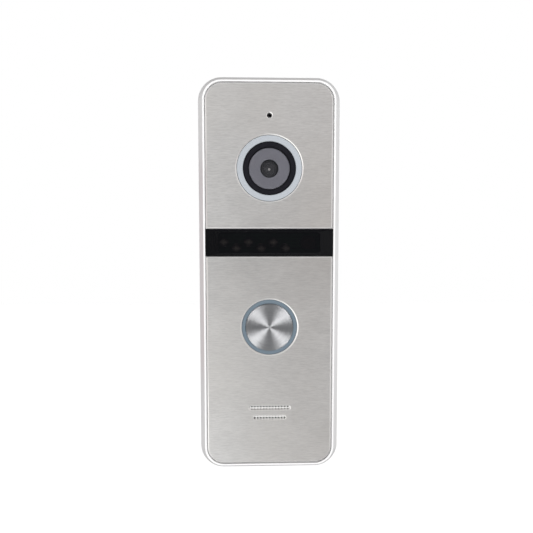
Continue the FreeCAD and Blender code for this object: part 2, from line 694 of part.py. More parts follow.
def make_lens():
    turned("lens_trim_ring", [
        ("trim_inner", "trim_front - 0.15"), ("trim_inner + 0.15", "trim_front"),
        ("trim_outer - 0.1", "trim_front"), ("trim_outer", "trim_front - 0.1"), ("trim_outer", "deck_back"),
        ("trim_flange", "deck_back"), ("trim_flange", "trim_flange_back"),
        ("seal_ring_inner", "trim_flange_back"), ("seal_ring_inner", "deck_back + 0.3"),
        ("trim_inner", "deck_back + 0.3"),
    ], z="lens_z")
    turned("lens_seal_ring", [
        ("seal_ring_inner", "seal_ring_front - 0.3"), ("seal_ring_inner + 0.3", "seal_ring_front"),
        ("seal_ring_outer - 0.35", "seal_ring_front"), ("seal_ring_outer", "seal_ring_front - 0.35"),
        ("seal_ring_outer", "deck_back + 0.3"), ("lens_head + 0.1", "deck_back + 0.3"),
        ("lens_head + 0.1", "lens_window_back - 0.05"), ("seal_ring_inner", "lens_window_back - 0.05"),
    ], z="lens_z")
    turned("lens_window", [
        ("0", "lens_window_back"), ("lens_window_radius", "lens_window_back"),
        ("lens_window_radius", "lens_window_front - 0.15"),
        ("lens_window_radius - 0.15", "lens_window_front"), ("0", "lens_window_front"),
    ], z="lens_z")
    turned("lens_barrel", [
        ("lens_opening", "lens_head_front"), ("lens_head - 0.12", "lens_head_front"),
        ("lens_head", "lens_head_front - 0.12"),
        ("lens_head", "trim_flange_back"), ("barrel_radius", "trim_flange_back"),
        ("barrel_radius", "barrel_back"), ("3.6", "barrel_back"), ("3.6", "barrel_back + 3"),
        ("3.2", "barrel_back + 3"),
        ("3.2", "lens_head_front - 1.5"), ("3.6", "lens_head_front - 1.5"), ("3.6", "lens_head_front - 0.5"),
        ("lens_opening", "lens_head_front - 0.5"),
    ], z="lens_z")
    dome = DOC.addObject("Part::Sphere", "front_element_dome")
    bind(dome, "Radius", "5.5")
    bind(dome, "Placement.Base.y", "-(lens_head_front - 0.5 - 5.5)")
    bind(dome, "Placement.Base.z", "lens_z")
    edge = post("front_element_edge", "0", "lens_z", "3.55", "lens_head_front - 1.45", "lens_head_front")
    front = DOC.addObject("Part::Common", "lens_front_element")
    front.Base = dome
    front.Tool = edge
    node(front, "lens_front_element")
    turned("lens_rear_element", [
        ("0", "barrel_back + 0.4"), ("3.5", "barrel_back + 0.4"), ("3.5", "barrel_back + 2"),
        ("2.6", "barrel_back + 2.6"), ("0", "barrel_back + 2.9"),
    ], z="lens_z")


def make_camera_board():
    make_lens_holder()
    face = "camera_board_front"
    node(block("infrared_cut_filter", "0", "lens_z", "7", "7", face + " + 1.6", face + " + 1.9"),
         "infrared_cut_filter")
    node(block("image_sensor", "0", "lens_z", "8", "8", face, face + " + 1"), "image_sensor")
    body = new_body("camera_board")
    side = "2 * camera_board_half"
    slab(body, "camera_laminate", "camera_board_back", face, box("0", "lens_z", side, side, "1"),
         *[circle(x, z, "1.1") for x, z in CAMERA_SCREWS], *[circle(x, z, "1") for x, z in HOLDER_SCREWS])
    seat = "camera_board_back"
    copies("camera_board_screws",
           screw("camera_screw", "1.8", seat + " - 1.2", seat, "1", face + " + 4"), CAMERA_SCREWS)
    copies("lens_holder_screws",
           screw("holder_screw", "1.6", seat + " - 1", seat, "0.9", face + " + 2.2"), HOLDER_SCREWS)
    node(block("video_processor", "0", "lens_z", "9", "9", seat + " - 1", seat), "video_processor")
    make_camera_ribbon()


def make_lens_holder():
    """Moulded tower that screws to the camera board and takes the lens barrel in its bore."""
    face = "camera_board_front"
    base_top = face + " + 2.6"
    ears = "2 * holder_ear_reach + 4"
    holder = fused("lens_holder_blank",
                   block("holder_base", "0", "lens_z", "16", "16", face, base_top),
                   block("holder_ears", "0", "lens_z", ears, "4.4", face, base_top),
                   post("holder_tower", "0", "lens_z", "8", face + " + 2", "trim_flange_back - 2.3"))
    tools = [block("holder_chamber", "0", "lens_z", "11", "11", face + " - 1", face + " + 1.9"),
             post("holder_bore", "0", "lens_z", "barrel_radius + 0.03", face + " + 2.4", "deck_back"),
             post("holder_light_path", "0", "lens_z", "3", face, "deck_back")]
    for number, (x, z) in enumerate(HOLDER_SCREWS, start=1):
        pilot = "0.9 + thread_play"
        tools.append(post("holder_pilot_%d" % number, x, z, pilot, face + " - 1", face + " + 2.4"))
    node(cut("lens_holder", holder, *tools), "lens_holder")


def make_camera_ribbon():
    """Flat cable from the front of the camera board down to the rear of the main board."""
    camera_end = "lens_z - camera_board_half + 1"
    board_end = "board_top - 1.4"
    group("ribbon_sockets", [
        block("camera_socket", "0", "%s + 1" % camera_end, "10", "2",
              "camera_board_front", "camera_board_front + 1.2"),
        block("board_socket", "0", "%s - 1" % board_end, "10", "2", "board_back - 1.2", "board_back"),
    ])
    body = new_body("camera_ribbon")
    sketch = sketch_on(body, "YZ_Plane", "ribbon_side", "-4")
    path = [("camera_board_front + 0.45", camera_end), ("camera_board_front + 0.45", "%s - 2" % camera_end),
            ("board_back - 0.75", "%s + 2" % board_end), ("board_back - 0.75", board_end)]
    front = [("-(%s) - 0.2" % level, z) for level, z in path]
    back = [("-(%s)" % level, z) for level, z in reversed(path)]
    polygon(*front, *back)(sketch)
    pad = body.newObject("PartDesign::Pad", "ribbon")
    pad.Profile = sketch
    pad.Length = 8


# ---------------------------------------------------------------- night light and microphone


def make_infrared_light():
    body = new_body("infrared_led_board")
    border = ["-board_half_width", "board_half_width", "window_bottom + 0.1", "window_top - 0.1"]
    slab(body, "infrared_laminate", "led_board_back", "led_board_front", frame(*border, ["0.6"] * 4))
    led = turned("infrared_led", [
        ("0", "led_board_front"), ("led_radius + 0.2", "led_board_front"),
        ("led_radius + 0.2", "led_board_front + 0.8"), ("led_radius", "led_board_front + 0.8"),
        ("led_radius", "led_tip"), ("0", "led_tip"),
    ], keep=False)
    soften(led, "led_dome", "led_radius - 0.02",
           edges_round("led_tip", "0", "0", "led_radius + 0.1", "led_radius + 0.1"))
    rows = "led_upper_z", "led_lower_z"
    copies("infrared_leds", led, [("led_first_x + %d * led_pitch" % k, rows[k % 2]) for k in range(6)])
    turned("light_sensor", [
        ("0", "led_board_front"), ("2.5", "led_board_front"), ("2.5", "led_board_front + 1.8"),
        ("2.2", "led_board_front + 2.1"), ("0", "led_board_front + 2.1"),
    ], x="13.8", z="(window_top + window_bottom) / 2")
    group("infrared_board_headers", [
        block("header_%d" % number, x, "13.5", "8", "2.5", "board_front", "led_board_back")
        for number, x in enumerate(("-8", "8"), start=1)
    ])


def make_microphone():
    turned("microphone_capsule", [
        ("0", "17.2"), ("3", "17.2"), ("3", "19.9"), ("0.5", "19.9"), ("0.5", "19.6"), ("0", "19.6"),
    ], z="mic_z")
    turned("microphone_boot", [
        ("0.8", "19.9"), ("3", "19.9"), ("3", "17.2"), ("2.6", "16.8"), ("3.9", "16.8"), ("3.9", "deck_back"),
        ("0.8", "deck_back"),
    ], z="mic_z")


# ---------------------------------------------------------------- call button


def make_call_button():
    turned("button_cap", [
        ("0", "stem_end"), ("stem_radius - 0.3", "stem_end"), ("stem_radius", "stem_end + 0.3"),
        ("stem_radius", "guide_back - 0.6"), ("2.4", "guide_back - 0.6"), ("2.4", "guide_back - 0.1"),
        ("stem_radius", "guide_back - 0.1"), ("stem_radius", "guide_back + 1.3"), ("2.3", "guide_back + 1.3"),
        ("2.3", "guide_back + 2.1"), ("stem_radius", "guide_back + 2.1"), ("stem_radius", "cap_back"),
        ("cap_radius", "cap_back"), ("cap_radius", "cap_front - 0.08"), ("cap_radius - 0.08", "cap_front"),
        ("0", "cap_front"),
    ], z="button_z")
    seal = DOC.addObject("Part::Torus", "stem_seal_ring")
    seal.Placement.Rotation = TO_FRONT
    bind(seal, "Radius1", "2.67")
    bind(seal, "Radius2", "0.35")
    bind(seal, "Placement.Base.y", "-(guide_back + 1.7)")
    bind(seal, "Placement.Base.z", "button_z")
    node(seal, "stem_seal_ring")
    clip = new_body("stem_retaining_clip")
    slab(clip, "clip_ring", "guide_back - 0.6", "guide_back - 0.1",
         circle("0", "button_z", "4.3"), circle("0", "button_z", "2.45"))
    hollow(clip, "clip_mouth", "guide_back - 0.7", "guide_back", box("0", "button_z - 4", "3.4", "4"))
    turned("button_guide", [
        ("stem_bore", "guide_back"), ("guide_sleeve", "guide_back"), ("guide_sleeve", "guide_step"),
        ("guide_outer", "guide_step"), ("guide_outer", "guide_front"), ("spring_pocket", "guide_front"),
        ("spring_pocket", "spring_seat"), ("stem_bore", "spring_seat"),
    ], z="button_z")
    make_light_ring()
    make_return_spring()


def make_light_ring():
    """Clear light guide round the cap, screwed to the back of the deck."""
    ring = turned("button_light_ring", [
        ("ring_inner", "ring_back"), ("ring_outer", "ring_back"), ("ring_outer", "ring_flange_back"),
        ("ring_flange", "ring_flange_back"), ("ring_flange", "deck_back"), ("ring_outer", "deck_back"),
        ("ring_outer", "ring_front - 0.15"), ("ring_outer - 0.15", "ring_front"),
        ("ring_inner + 0.1", "ring_front"), ("ring_inner", "ring_front - 0.1"),
    ], z="button_z")
    hollow(ring, "ring_screw_holes", "ring_flange_back - 0.1", "deck_back + 0.1",
           *[circle(x, z + " - button_z", "1.1") for x, z in RING_SCREWS])
    copies("light_ring_screws",
           screw("ring_screw", "1.6", "ring_flange_back - 1.1", "ring_flange_back", "1", "deck_back + 1.4"),
           RING_SCREWS)


def make_return_spring():
    """Compression spring between the guide's pocket and the underside of the cap."""
    coil = DOC.addObject("Part::Helix", "spring_path")
    coil.Placement.Rotation = TO_FRONT
    length = "cap_back - spring_seat - 2 * spring_wire - 0.1"
    bind(coil, "Radius", "spring_radius")
    bind(coil, "Height", length)
    bind(coil, "Pitch", "(%s) / spring_turns" % length)
    bind(coil, "Placement.Base.y", "-(spring_seat + spring_wire + 0.05)")
    bind(coil, "Placement.Base.z", "button_z")
    wire = DOC.addObject("Part::Circle", "spring_section")
    bind(wire, "Radius", "spring_wire")
    bind(wire, "Placement.Base.x", "spring_radius")
    bind(wire, "Placement.Base.y", "-(spring_seat + spring_wire + 0.05)")
    bind(wire, "Placement.Base.z", "button_z")
    spring = DOC.addObject("Part::Sweep", "button_return_spring")
    spring.Sections = [wire]
    spring.Spine = (coil, [])
    spring.Solid = True
    spring.Frenet = True
    node(spring, "button_return_spring")


# ---------------------------------------------------------------- main board


def make_main_board():
    body = new_body("main_board")
    slab(body, "main_laminate", "board_back", "board_front",
         frame("-board_half_width", "board_half_width", "board_bottom", "board_top", ["1"] * 4),
         *[circle(x, z, "1.4") for x, z in BOARD_SCREWS])
    copies("main_board_screws",
           screw("board_screw", "2.2", "board_back - 1.4", "board_back", "1.25", "board_front + 4.6"),
           BOARD_SCREWS)
    case = block("switch_case", "0", "button_z", "6", "6", "board_front", "board_front + 1.5")
    well = post("switch_well", "0", "button_z", "1.65", "board_front + 0.3", "board_front + 2")
    node(cut("switch_body", case, well), "switch_body")
    turned("switch_plunger", tube("0", "1.6", "board_front + 0.9", "stem_end - 0.05"), z="button_z")
    group("ring_leds", [
        block("ring_led_%d" % angle, "8.75 * cos(%d deg)" % angle, "button_z + 8.75 * sin(%d deg)" % angle,
              "1.6", "1.6", "board_front", "board_front + 0.7")
        for angle in range(0, 360, 45)
    ])
    node(block("audio_amplifier", "-12", "-32", "5", "4", "board_front", "board_front + 1.5"),
         "audio_amplifier")
    node(block("lock_relay", "-11", "-27", "10.6", "7.5", "board_back - 5", "board_back"), "lock_relay")
    group("filter_capacitors", [
        post("capacitor_%d" % number, "-13", z, "2.5", "board_back - 5.4", "board_back")
        for number, z in enumerate(("-2", "-8.5", "-15"), start=1)
    ])
    socket = block("header_case", "6", "-33", "12.4", "5.8", "board_back - 5", "board_back")
    mouth = block("header_mouth", "6", "-33.6", "11", "3.4", "board_back - 6", "board_back - 1.2")
    node(cut("wire_header", socket, mouth), "wire_header")
    node(cut("trimmer_body",
             block("trimmer_case", "trimmer_x", "trimmer_z", "6.6", "6.6", "board_back - 2.6", "board_back"),
             post("trimmer_well", "trimmer_x", "trimmer_z", "2.65", "board_back - 3", "board_back - 0.8")),
         "trimmer_body")
    rotor = post("rotor_disc", "trimmer_x", "trimmer_z", "2.6", "board_back - 3", "board_back - 0.9")
    slots = [
        block("rotor_slot_x", "trimmer_x", "trimmer_z", "3.6", "0.7", "board_back - 4", "board_back - 2.2"),
        block("rotor_slot_z", "trimmer_x", "trimmer_z", "0.7", "3.6", "board_back - 4", "board_back - 2.2"),
    ]
    node(cut("trimmer_rotor", rotor, *slots), "trimmer_rotor")


# ---------------------------------------------------------------- speaker


def make_speaker():
    mesh = new_body("speaker_mesh")
    slab(mesh, "mesh_sheet", "mesh_back", "mesh_front",
         box("0", "grille_z", "mesh_width", "mesh_height", "mesh_corner"))
    first = hollow(mesh, "mesh_first_hole", "mesh_back - 0.1", "mesh_front + 0.1",
                   circle("mesh_first_x", "mesh_first_z", "mesh_hole"))
    sketch = first.Profile[0]
    pattern = mesh.newObject("PartDesign::LinearPattern", "mesh_holes")
    pattern.Originals = [first]
    pattern.Direction = (sketch, ["H_Axis"])
    pattern.Direction2 = (sketch, ["V_Axis"])
    bind(pattern, "Length", "16 * mesh_pitch_x")
    bind(pattern, "Length2", "6 * mesh_pitch_z")
    pattern.Occurrences = 17
    pattern.Occurrences2 = 7
    mesh.Tip = pattern
    turned("speaker_gasket", tube("9.1", "speaker_outer", "speaker_front", "deck_back"), z="grille_z")
    turned("speaker_frame", [
        ("9.2", "speaker_front"), ("speaker_outer", "speaker_front"),
        ("speaker_outer", "speaker_front - 0.8"), ("8.2", "magnet_back + 2.8"),
        ("magnet_radius + 0.1", "magnet_back + 2.8"), ("magnet_radius + 0.1", "magnet_back + 3.4"),
        ("7.9", "magnet_back + 3.4"), ("9.2", "speaker_front - 1"),
    ], z="grille_z")
    turned("speaker_cone", [
        ("0", "19"), ("1.8", "18.8"), ("3.5", "18"), ("4", "18"), ("6.6", "19.2"), ("8.2", "19.5"),
        ("9.1", "19.3"), ("9.1", "19.5"), ("8.2", "19.7"), ("6.5", "19.4"), ("4", "18.25"),
        ("3.6", "18.25"), ("1.9", "19"), ("0", "19.2"),
    ], z="grille_z")
    turned("speaker_magnet", tube("0", "magnet_radius", "magnet_back", "magnet_back + 3.4"), z="grille_z")


# ---------------------------------------------------------------- leads


def lead_solid(points, radius, bend):
    """Round wire through points: straight runs joined by tangent arcs of one radius."""
    corners = [FreeCAD.Vector(x, -level, z) for x, level, z in points]
    edges = []
    start = corners[0]
    for before, corner, after in zip(corners, corners[1:], corners[2:]):
        inward = (before - corner).normalize()
        outward = (after - corner).normalize()
        half = inward.getAngle(outward) / 2
        reach = bend / math.tan(half)
        middle = (inward + outward).normalize() * (bend / math.sin(half) - bend)
        entry = corner + inward * reach
        leave = corner + outward * reach
        edges.append(Part.makeLine(start, entry))
        edges.append(Part.Arc(entry, corner + middle, leave).toShape())
        start = leave
    edges.append(Part.makeLine(start, corners[-1]))
    path = Part.Wire(edges)
    section = Part.Wire(Part.makeCircle(radius, corners[0], corners[1] - corners[0]))
    return path.makePipeShell([section], True, False)


def make_leads():
    """Pairs of thin wires that the housing holds all the way, from speaker and microphone to the board."""
    board = value("board_front")
    grille = value("grille_z")
    mic = value("mic_z")
    wire = value("wire_radius")
    terminal = value("magnet_back") + 2.8
    routes = {
        "speaker_leads": [
            [(x, terminal, grille + 7.2), (x, terminal - 1.6, grille + 7.2), (x, terminal - 1.6, grille + 12),
             (x, board, grille + 12)]
            for x in (-1.5, 1.5)
        ],
        "microphone_leads": [
            [(start, 17.2, mic), (start, level, mic), (side, level, mic), (side, level, landing),
             (side, board, landing)]
            for start, side, level, landing in ((0.9, 15.2, 13.4, 12.6), (-0.9, 16.8, 14.6, 12.6))
        ],
    }
    for label, wires in routes.items():
        item = DOC.addObject("Part::Feature", label)
        item.Shape = Part.makeCompound([lead_solid(points, wire, value("wire_bend")) for points in wires])
        node(item, label)


# ---------------------------------------------------------------- rear


def hook_frame(x, margin, bottom, top, corner=""):
    """Outline round a bracket hook at x, wider than it by a margin on each side."""
    reach = "hook_half_width + %s" % margin
    return frame("%s - (%s)" % (x, reach), "%s + (%s)" % (x, reach), bottom, top, [corner] * 4)


def make_rear_cover():
    border = ["-rebate_half_width + play", "rebate_half_width - play",
              "rebate_bottom + play", "rebate_top - play"]
    corner = ["rebate_corner - play"] * 4
    cover = new_body("rear_cover")
    slab(cover, "cover_sheet", "cover_back", "cover_front", frame(*border, corner))
    slab(cover, "hook_housings", "cover_front", "hook_reach + 1.5",
         *[hook_frame(x, "1.3", "hook_z - 5", "hook_z + hook_rise + 1.5", "0.6") for x in HOOKS])
    hollow(cover, "hook_slots", "cover_back - 0.1", "hook_reach + 0.5",
           *[hook_frame(x, "0.3", "hook_z - 4", "hook_z + bracket_gauge + 0.1") for x in HOOKS])
    hollow(cover, "hook_undercuts", "cover_front", "hook_reach + 0.5",
           *[hook_frame(x, "0.3", "hook_z", "hook_z + hook_rise + 0.4") for x in HOOKS])
    screws = [circle(x, z, "1.4") for x, z in COVER_SCREWS]
    hollow(cover, "cover_holes", "cover_back - 0.1", "cover_front + 0.1",
           circle("0", "outlet_z", "outlet_radius + 2"), circle("trimmer_x", "trimmer_z", "2.4"), *screws)
    hollow(cover, "cover_counterbores", "cover_back - 0.1", "cover_back + cover_counterbore",
           *[circle(x, z, "2.5") for x, z in COVER_SCREWS])
    hollow(cover, "outlet_counterbore", "cover_back - 0.1", "cover_back + outlet_recess",
           circle("0", "outlet_z", "outlet_radius + outlet_flange + 0.1"))
    seal = new_body("housing_seal")
    inner = ["-cavity_half_width - 0.2", "cavity_half_width + 0.2",
             "cavity_bottom - 0.2", "cavity_top + 0.2"]
    slab(seal, "seal_cord", "cover_front", "ledge", frame(*border, corner),
         frame(*inner, ["rebate_corner - 1.2"] * 4))
    seat = "cover_back + cover_counterbore"
    copies("rear_cover_screws",
           screw("cover_screw", "2.2", "cover_back + 0.05", seat, "1.25", "cover_front + 7.5"), COVER_SCREWS)
    turned("cable_grommet", [
        ("outlet_radius", "cover_back"), ("outlet_radius + outlet_flange", "cover_back"),
        ("outlet_radius + outlet_flange", "cover_back + outlet_recess"),
        ("outlet_radius + 1.9", "cover_back + outlet_recess"),
        ("outlet_radius + 1.9", "cover_front"), ("outlet_radius + outlet_flange", "cover_front"),
        ("outlet_radius + 2.6", "cover_front + 1"), ("outlet_radius", "cover_front + 1"),
    ], z="outlet_z")
    turned("trimmer_plug", [
        ("0", "cover_back - 0.6"), ("3.2", "cover_back - 0.6"), ("3.2", "cover_back"), ("2.35", "cover_back"),
        ("2.35", "cover_front"), ("2.35", "cover_front + 0.4"), ("0", "cover_front + 0.4"),
    ], x="trimmer_x", z="trimmer_z")


def make_bracket():
    """Pressed steel wall plate with two hooks near the top and a tapped foot at the bottom."""
    bracket = new_body("wall_bracket")
    slab(bracket, "bracket_plate", "0", "bracket_gauge",
         frame("-bracket_half_width", "bracket_half_width", "bracket_bottom", "bracket_top", ["4"] * 4))
    slab(bracket, "foot_strip", "0", "bracket_gauge",
         frame("-foot_half_width", "foot_half_width", "foot_bottom", "bracket_bottom + 1", [""] * 4))
    slab(bracket, "foot", "0", "foot_front",
         frame("-foot_half_width", "foot_half_width", "foot_bottom", "foot_bottom + bracket_gauge", [""] * 4))
    slab(bracket, "hook_stems", "0", "hook_reach",
         *[hook_frame(x, "0", "hook_z", "hook_z + bracket_gauge") for x in HOOKS])
    slab(bracket, "hook_lips", "hook_reach - bracket_gauge", "hook_reach",
         *[hook_frame(x, "0", "hook_z", "hook_z + hook_rise") for x in HOOKS])
    holes = [circle("0", z, "wall_screw_hole") for z in ("-wall_screw_reach", "wall_screw_reach")]
    window = frame("-bracket_window_half", "bracket_window_half", "outlet_z - bracket_window_reach",
                   "outlet_z + bracket_window_reach", ["3"] * 4)
    hollow(bracket, "bracket_openings", "-0.1", "bracket_gauge + 0.1", window, *holes)
    tap = DOC.addObject("Part::Cylinder", "foot_tap")
    bind(tap, "Radius", "lock_radius + thread_play")
    bind(tap, "Height", "3")
    bind(tap, "Placement.Base.y", "-lock_level")
    bind(tap, "Placement.Base.z", "foot_bottom - 1")
    NODES.remove(bracket)
    bracket.Label = "bracket_pressing"
    node(cut("wall_bracket_tapped", bracket, tap), "wall_bracket")


def make_lock_screw():
    """Countersunk screw up through the housing's foot into the bracket."""
    skin = "-body_height / 2"
    shank = DOC.addObject("Part::Cylinder", "lock_shank")
    bind(shank, "Radius", "lock_radius")
    bind(shank, "Height", "foot_bottom + bracket_gauge + 0.8 - (%s)" % skin)
    head = DOC.addObject("Part::Cone", "lock_head")
    bind(head, "Radius1", "lock_radius + 1.3")
    bind(head, "Radius2", "lock_radius")
    bind(head, "Height", "1.5")
    for item in (shank, head):
        bind(item, "Placement.Base.y", "-lock_level")
        bind(item, "Placement.Base.z", "%s + 0.2" % skin)
    recess = DOC.addObject("Part::Cylinder", "lock_recess")
    bind(recess, "Radius", "0.9")
    bind(recess, "Height", "2")
    bind(recess, "Placement.Base.y", "-lock_level")
    bind(recess, "Placement.Base.z", "%s - 0.8" % skin)
    node(cut("lock_screw", fused("lock_screw_blank", shank, head), recess), "lock_screw")


def check_document():
    DOC.recompute()
    for item in DOC.Objects:
        if "Invalid" in item.State or "Error" in item.State:
            raise RuntimeError("%s failed: %s" % (item.Name, item.State))
    for item in NODES:
        if item.Shape.isNull() or not item.Shape.isValid() or not item.Shape.Solids:
            raise RuntimeError("%s has no sound shape" % item.Label)


def main():
    make_housing()
    make_upper_plate()
    make_lower_plate()
    make_infrared_window()
    make_lens()
    make_camera_board()
    make_infrared_light()
    make_microphone()
    make_call_button()
    make_main_board()
    make_speaker()
    make_leads()
    make_rear_cover()
    make_bracket()
    make_lock_screw()
    check_document()
    os.makedirs("parts", exist_ok=True)
    for item in NODES:
        item.Shape.exportStep("parts/%s.step" % item.Label)
    print("%d nodes" % len(NODES))


main()
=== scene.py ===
import json
import math

import bmesh
import bpy
from mathutils import Euler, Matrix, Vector

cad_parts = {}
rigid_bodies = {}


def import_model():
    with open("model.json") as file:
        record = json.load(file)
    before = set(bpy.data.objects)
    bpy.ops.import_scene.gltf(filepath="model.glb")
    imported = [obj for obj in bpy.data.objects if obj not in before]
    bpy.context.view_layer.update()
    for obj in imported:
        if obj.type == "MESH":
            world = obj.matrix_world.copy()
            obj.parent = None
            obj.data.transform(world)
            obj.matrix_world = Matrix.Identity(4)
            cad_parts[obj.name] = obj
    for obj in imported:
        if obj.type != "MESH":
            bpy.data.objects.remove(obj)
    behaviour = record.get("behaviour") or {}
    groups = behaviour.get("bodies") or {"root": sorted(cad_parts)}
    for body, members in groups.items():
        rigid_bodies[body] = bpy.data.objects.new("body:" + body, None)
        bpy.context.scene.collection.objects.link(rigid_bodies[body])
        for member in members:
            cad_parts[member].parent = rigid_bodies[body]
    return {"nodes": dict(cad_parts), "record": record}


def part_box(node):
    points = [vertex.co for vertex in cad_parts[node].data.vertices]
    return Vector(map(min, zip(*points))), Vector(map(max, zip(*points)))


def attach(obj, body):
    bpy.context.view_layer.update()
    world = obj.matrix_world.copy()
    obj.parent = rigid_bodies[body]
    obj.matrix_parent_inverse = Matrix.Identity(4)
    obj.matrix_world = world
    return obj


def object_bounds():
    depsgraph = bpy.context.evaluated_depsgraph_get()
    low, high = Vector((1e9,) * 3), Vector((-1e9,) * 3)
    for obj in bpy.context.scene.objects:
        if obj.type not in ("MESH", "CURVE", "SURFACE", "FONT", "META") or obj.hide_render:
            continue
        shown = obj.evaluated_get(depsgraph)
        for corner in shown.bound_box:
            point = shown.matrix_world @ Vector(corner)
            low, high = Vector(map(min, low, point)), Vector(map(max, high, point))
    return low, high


# Outdoor call station of a video intercom, seen from the front on a white studio set.
# Metres; +Z runs up the wall and the front faces -Y.

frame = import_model()
cad_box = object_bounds()
NODES = frame["nodes"]
LOW, HIGH = (Vector(corner) for corner in cad_box)
MIDDLE = (LOW + HIGH) / 2

MM = 0.001
WHITE = (1, 1, 1)


def centre_of(node):
    low, high = (Vector(corner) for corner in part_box(node))
    return (low + high) / 2


BUTTON = centre_of("button_cap")

# ---------------------------------------------------------------- camera

CAMERA_PLACE = Vector((-5.3, -177.1, 13.3)) * MM
CAMERA_TURN = (86.42, 0.03, -1.61)
CAMERA_LENS = 30.8
CAMERA_SENSOR = 36
CAMERA_NEAREST = 10 * MM


def make_camera():
    data = bpy.data.cameras.new("camera")
    data.sensor_width = CAMERA_SENSOR
    data.lens = CAMERA_LENS
    data.clip_start = CAMERA_NEAREST
    camera = bpy.data.objects.new("camera", data)
    camera.location = CAMERA_PLACE
    camera.rotation_euler = Euler([math.radians(angle) for angle in CAMERA_TURN], "XYZ")
    bpy.context.scene.collection.objects.link(camera)
    bpy.context.scene.camera = camera


# ---------------------------------------------------------------- lamps

FILL_DIRECTION = (0.22, -1.0, 0.02)
FILL_DISTANCE = 0.8
FILL_SIZE = (0.8, 0.6)
FILL_RADIANCE = 3.7

STREAK_TILT = 18.5
STREAK_DISTANCE = 0.7
STREAK_SIZE = (0.30, 0.30)
STREAK_COLOUR = (1.0, 0.965, 0.935)
STREAK_LAMPS = (
    # where the streak lies on the cap, in degrees from the right-hand side, and the lamp's radiance
    (41, 17.8),
    (90, 1.6),
    (138.5, 17),
    (220, 16),
    (270, 1.6),
    (312, 17),
)


def softbox(name, target, direction, distance, size, radiance, colour=WHITE):
    """Oblong area light that faces the target from a direction."""
    data = bpy.data.lights.new(name, "AREA")
    data.shape = "RECTANGLE"
    data.size, data.size_y = size
    data.energy = radiance * math.pi * size[0] * size[1]
    data.color = colour
    lamp = bpy.data.objects.new(name, data)
    lamp.location = target + Vector(direction).normalized() * distance
    lamp.rotation_euler = (lamp.location - target).to_track_quat("Z", "Y").to_euler()
    bpy.context.scene.collection.objects.link(lamp)
    return lamp


def make_fill():
    """Broad light from the front for the matt surfaces, left out of reflections."""
    fill = softbox("front_fill", MIDDLE, FILL_DIRECTION, FILL_DISTANCE, FILL_SIZE, FILL_RADIANCE)
    fill.visible_glossy = False


def streak_direction(angle):
    """Where a lamp stands so that the cap, tilted a little that way round, mirrors it to the camera."""
    seen_from = (CAMERA_PLACE - BUTTON).normalized()
    tilt = math.radians(STREAK_TILT)
    turn = math.radians(angle)
    facet = Vector((math.sin(tilt) * math.cos(turn), -math.cos(tilt), math.sin(tilt) * math.sin(turn)))
    return 2 * seen_from.dot(facet) * facet - seen_from


def make_streak_lamps():
    """Four bright lamps draw the streaks on the turned cap, and two weak ones lift the dark between."""
    only_cap = bpy.data.collections.new("streak_receivers")
    only_cap.objects.link(NODES["button_cap"])
    for angle, radiance in STREAK_LAMPS:
        lamp = softbox("streak_%d" % angle, BUTTON, streak_direction(angle), STREAK_DISTANCE, STREAK_SIZE,
                       radiance, STREAK_COLOUR)
        lamp.light_linking.receiver_collection = only_cap


# ---------------------------------------------------------------- set

CARD_GAP = 32.2 * MM
CARD_DEPTH = -17 * MM
CARD_SIZE = (46 * MM, 90 * MM)
CARD_TURN = (90, 0, 90)
CARD_COLOUR = (0.20, 0.02, 0.04)

FLOOR_SIZE = 6
FLOOR_HEIGHT = -0.45
FLOOR_COLOUR = (0.95, 0.95, 0.95)
FLOOR_GLOW = 0.60

WORLD_FRONT = (0.62, 0.615, 0.61)
WORLD_PATCHES = (
    # axis of the patch, cosine where it starts, cosine where it is full, colour

    # behind: dim towards the sides and pale in the middle, where it lights the back
    ((0, 1, 0), -0.20, 0.25, (0.16, 0.16, 0.16)),
    ((0, 1, 0), 0.72, 0.92, (0.85, 0.85, 0.85)),
    # left, faintly pink, and right, with a darker band further back
    ((-1, -0.35, 0), 0.70, 0.95, (0.98, 0.925, 0.93)),
    ((1, -0.35, 0), 0.70, 0.95, (1.05, 1.05, 1.05)),
    ((0.95, 0.25, 0), 0.85, 0.97, (0.48, 0.48, 0.48)),
    # above and below, pale in front of the object and dark behind it
    ((0, -0.45, 0.89), 0.74, 0.95, (0.72, 0.72, 0.72)),
    ((0, 0.35, 0.94), 0.80, 0.95, (0.05, 0.05, 0.05)),
    ((0, -0.45, -0.89), 0.74, 0.95, (0.90, 0.90, 0.90)),
    ((0, 0.45, -0.90), 0.80, 0.95, (0.08, 0.08, 0.08)),
    # in front, for the face plates: high, high and right, low and right, then the bright low left
    ((0, -0.85, 0.52), 0.72, 0.95, (0.72, 0.715, 0.71)),
    ((0.50, -0.80, 0.30), 0.80, 0.93, (0.72, 0.685, 0.67)),
    ((0.50, -0.80, -0.35), 0.80, 0.93, (0.47, 0.455, 0.445)),
    ((-0.70, -0.55, -0.48), 0.80, 0.95, (1.6, 1.6, 1.56)),
    ((-0.40, -0.76, -0.52), 0.84, 0.97, (1.20, 1.20, 1.18)),
    # straight in front, the dark camera that glossy faces mirror
    ((0.02, -1, -0.12), 0.945, 0.985, (0.13, 0.135, 0.15)),
)


def make_card():
    """Deep red card beside the left side, seen only in reflections."""
    place = (LOW.x - CARD_GAP, CARD_DEPTH, MIDDLE.z)
    bpy.ops.mesh.primitive_plane_add(size=1, location=place)
    card = bpy.context.object
    card.name = "card"
    card.scale = (*CARD_SIZE, 1)
    card.rotation_euler = [math.radians(angle) for angle in CARD_TURN]
    paint, _, _ = plain("card_paint", CARD_COLOUR, roughness=0.9)
    card.data.materials.append(paint)
    card.visible_camera = False
    card.visible_diffuse = False


